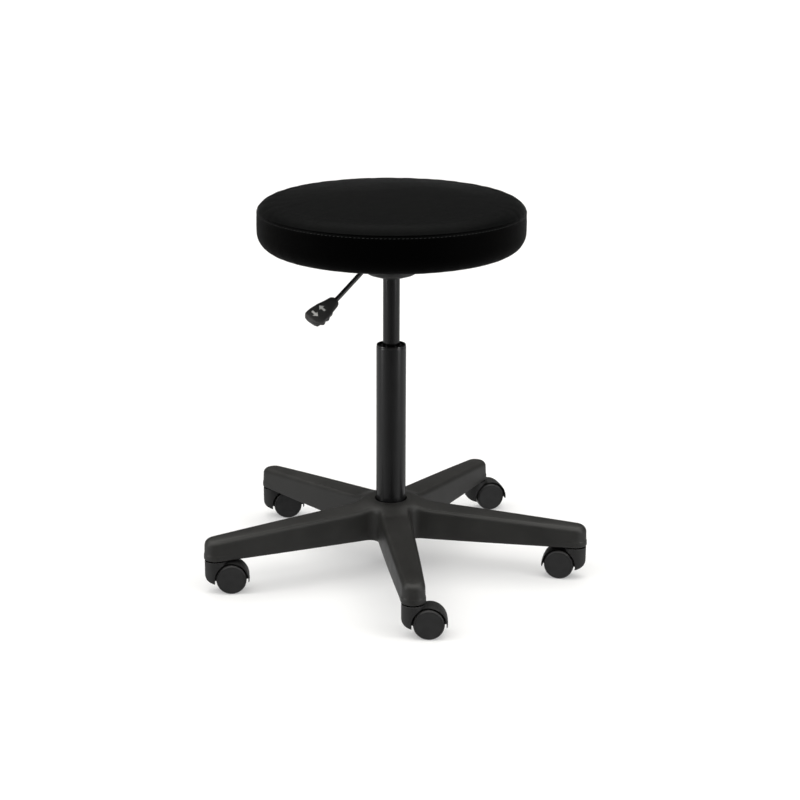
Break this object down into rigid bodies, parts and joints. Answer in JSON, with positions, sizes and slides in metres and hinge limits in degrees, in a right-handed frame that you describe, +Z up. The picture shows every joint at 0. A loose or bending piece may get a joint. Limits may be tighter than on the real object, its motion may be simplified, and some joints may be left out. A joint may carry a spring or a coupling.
{
  "type": "adjustable swivel stool",
  "caption": "Round padded stool on a gas-lift column and a star base with twin-wheel casters; the seat turns, rises and falls.",
  "frame": {"origin": "on the floor, at the centre of the bounding box; the column's axis is 11.4 mm to -X and 12.4 mm to +Y of it", "axes": "+Z up along the column, -Y to the side that the picture was taken from, +X to that view's right"},
  "size_m": [0.6374, 0.6432, 0.649],
  "materials": {
    "base_nylon": "satin black glass-filled nylon, faintly grained",
    "caster_nylon": "matte black nylon",
    "wheel_nylon": "matte black hard nylon wheel",
    "tube_paint": "semi-gloss black powder coat on steel",
    "cylinder_paint": "glossy black gas cylinder",
    "housing_paint": "black powder coat on pressed steel",
    "rod_steel": "ground and polished rod",
    "bearing_steel": "polished bearing steel",
    "zinc": "bright zinc plate",
    "acetal": "white acetal",
    "bush_nylon": "matte black nylon bush",
    "rubber": "black nitrile rubber",
    "vinyl": "fine-grained black vinyl with a soft sheen",
    "foam": "cream polyurethane foam",
    "plywood": "birch plywood",
    "dust_cloth": "black non-woven cloth",
    "lever_steel": "black-coated steel rod",
    "handle_nylon": "smooth black nylon"
  },
  "bodies": {
    "stand": {"star_base": "base_nylon", "column_tube": "tube_paint", "guide_bush": "bush_nylon", "bearing_lower_race": "bearing_steel", "caster_stem_1": "zinc", "grip_ring_1": "zinc", "caster_stem_2": "zinc", "grip_ring_2": "zinc", "caster_stem_3": "zinc", "grip_ring_3": "zinc", "caster_stem_4": "zinc", "grip_ring_4": "zinc", "caster_stem_5": "zinc", "grip_ring_5": "zinc"},
    "piston": {"piston_rod": "rod_steel", "piston_head": "acetal", "bearing_upper_race": "bearing_steel", "ball_race": "bearing_steel", "bump_stop": "rubber", "retaining_clip": "zinc"},
    "seat": {"gas_cylinder": "cylinder_paint", "rod_seal": "rubber", "taper_socket": "zinc", "mechanism_housing": "housing_paint", "seat_board": "plywood", "seat_foam": "foam", "seat_cover": "vinyl", "dust_cover": "dust_cloth", "tee_nut_1": "zinc", "tee_nut_2": "zinc", "tee_nut_3": "zinc", "tee_nut_4": "zinc", "seat_bolt_1": "zinc", "seat_bolt_2": "zinc", "seat_bolt_3": "zinc", "seat_bolt_4": "zinc"},
    "lever": {"lever_rod": "lever_steel", "lever_handle": "handle_nylon"},
    "release": {"release_button": "zinc"},
    "caster_1": {"caster_hood_1": "caster_nylon", "axle_1": "zinc"},
    "wheel_1_left": {"wheel_1a": "wheel_nylon"},
    "wheel_1_right": {"wheel_1b": "wheel_nylon"},
    "caster_2": {"caster_hood_2": "caster_nylon", "axle_2": "zinc"},
    "wheel_2_left": {"wheel_2a": "wheel_nylon"},
    "wheel_2_right": {"wheel_2b": "wheel_nylon"},
    "caster_3": {"caster_hood_3": "caster_nylon", "axle_3": "zinc"},
    "wheel_3_left": {"wheel_3a": "wheel_nylon"},
    "wheel_3_right": {"wheel_3b": "wheel_nylon"},
    "caster_4": {"caster_hood_4": "caster_nylon", "axle_4": "zinc"},
    "wheel_4_left": {"wheel_4a": "wheel_nylon"},
    "wheel_4_right": {"wheel_4b": "wheel_nylon"},
    "caster_5": {"caster_hood_5": "caster_nylon", "axle_5": "zinc"},
    "wheel_5_left": {"wheel_5a": "wheel_nylon"},
    "wheel_5_right": {"wheel_5b": "wheel_nylon"}
  },
  "joints": [
    {"name": "seat_swivel", "type": "hinge", "parent": "stand", "child": "piston", "pos_m": [-0.0114, 0.0125, 0.071], "axis": [0, 0, 1], "continuous": true},
    {"name": "seat_lift", "type": "slide", "parent": "piston", "child": "seat", "axis": [0, 0, 1], "range_m": [-0.098, 0.022]},
    {"name": "lever_lift", "type": "hinge", "parent": "seat", "child": "lever", "pos_m": [-0.03745, -0.00936, 0.54226], "axis": [-0.6428, 0.766, 0], "range_deg": [0, 6], "stiffness_Nm_per_rad": 2, "springref_deg": -5.73},
    {"name": "release_press", "type": "slide", "parent": "seat", "child": "release", "axis": [0, 0, -1], "range_m": [0, 0.0039]},
    {"name": "caster_swivel_1", "type": "hinge", "parent": "stand", "child": "caster_1", "pos_m": [0.02555, -0.30204, 0.05], "axis": [0, 0, 1], "continuous": true},
    {"name": "wheel_spin_1_left", "type": "hinge", "parent": "caster_1", "child": "wheel_1_left", "pos_m": [0.05005, -0.30204, 0.025], "axis": [0, 1, 0], "continuous": true},
    {"name": "wheel_spin_1_right", "type": "hinge", "parent": "caster_1", "child": "wheel_1_right", "pos_m": [0.05005, -0.30204, 0.025], "axis": [0, 1, 0], "continuous": true},
    {"name": "caster_swivel_2", "type": "hinge", "parent": "stand", "child": "caster_2", "pos_m": [0.29916, -0.04956, 0.05], "axis": [0, 0, 1], "continuous": true},
    {"name": "wheel_spin_2_left", "type": "hinge", "parent": "caster_2", "child": "wheel_2_left", "pos_m": [0.2752, -0.04446, 0.025], "axis": [-0.2079, -0.9781, 0], "continuous": true},
    {"name": "wheel_spin_2_right", "type": "hinge", "parent": "caster_2", "child": "wheel_2_right", "pos_m": [0.2752, -0.04446, 0.025], "axis": [-0.2079, -0.9781, 0], "continuous": true},
    {"name": "caster_swivel_3", "type": "hinge", "parent": "stand", "child": "caster_3", "pos_m": [0.14359, 0.28868, 0.05], "axis": [0, 0, 1], "continuous": true},
    {"name": "wheel_spin_3_left", "type": "hinge", "parent": "caster_3", "child": "wheel_3_left", "pos_m": [0.16725, 0.29502, 0.025], "axis": [-0.2588, 0.9659, 0], "continuous": true},
    {"name": "wheel_spin_3_right", "type": "hinge", "parent": "caster_3", "child": "wheel_3_right", "pos_m": [0.16725, 0.29502, 0.025], "axis": [-0.2588, 0.9659, 0], "continuous": true},
    {"name": "caster_swivel_4", "type": "hinge", "parent": "stand", "child": "caster_4", "pos_m": [-0.22617, 0.24525, 0.05], "axis": [0, 0, 1], "continuous": true},
    {"name": "wheel_spin_4_left", "type": "hinge", "parent": "caster_4", "child": "wheel_4_left", "pos_m": [-0.20177, 0.24738, 0.025], "axis": [-0.0872, 0.9962, 0], "continuous": true},
    {"name": "wheel_spin_4_right", "type": "hinge", "parent": "caster_4", "child": "wheel_4_right", "pos_m": [-0.20177, 0.24738, 0.025], "axis": [-0.0872, 0.9962, 0], "continuous": true},
    {"name": "caster_swivel_5", "type": "hinge", "parent": "stand", "child": "caster_5", "pos_m": [-0.29912, -0.11984, 0.05], "axis": [0, 0, 1], "continuous": true},
    {"name": "wheel_spin_5_left", "type": "hinge", "parent": "caster_5", "child": "wheel_5_left", "pos_m": [-0.27472, -0.1177, 0.025], "axis": [-0.0872, 0.9962, 0], "continuous": true},
    {"name": "wheel_spin_5_right", "type": "hinge", "parent": "caster_5", "child": "wheel_5_right", "pos_m": [-0.27472, -0.1177, 0.025], "axis": [-0.0872, 0.9962, 0], "continuous": true}
  ],
  "couplings": [
    {"joint": "release_press", "follows": "lever_lift", "m_per_rad": 0.0365}
  ]
}
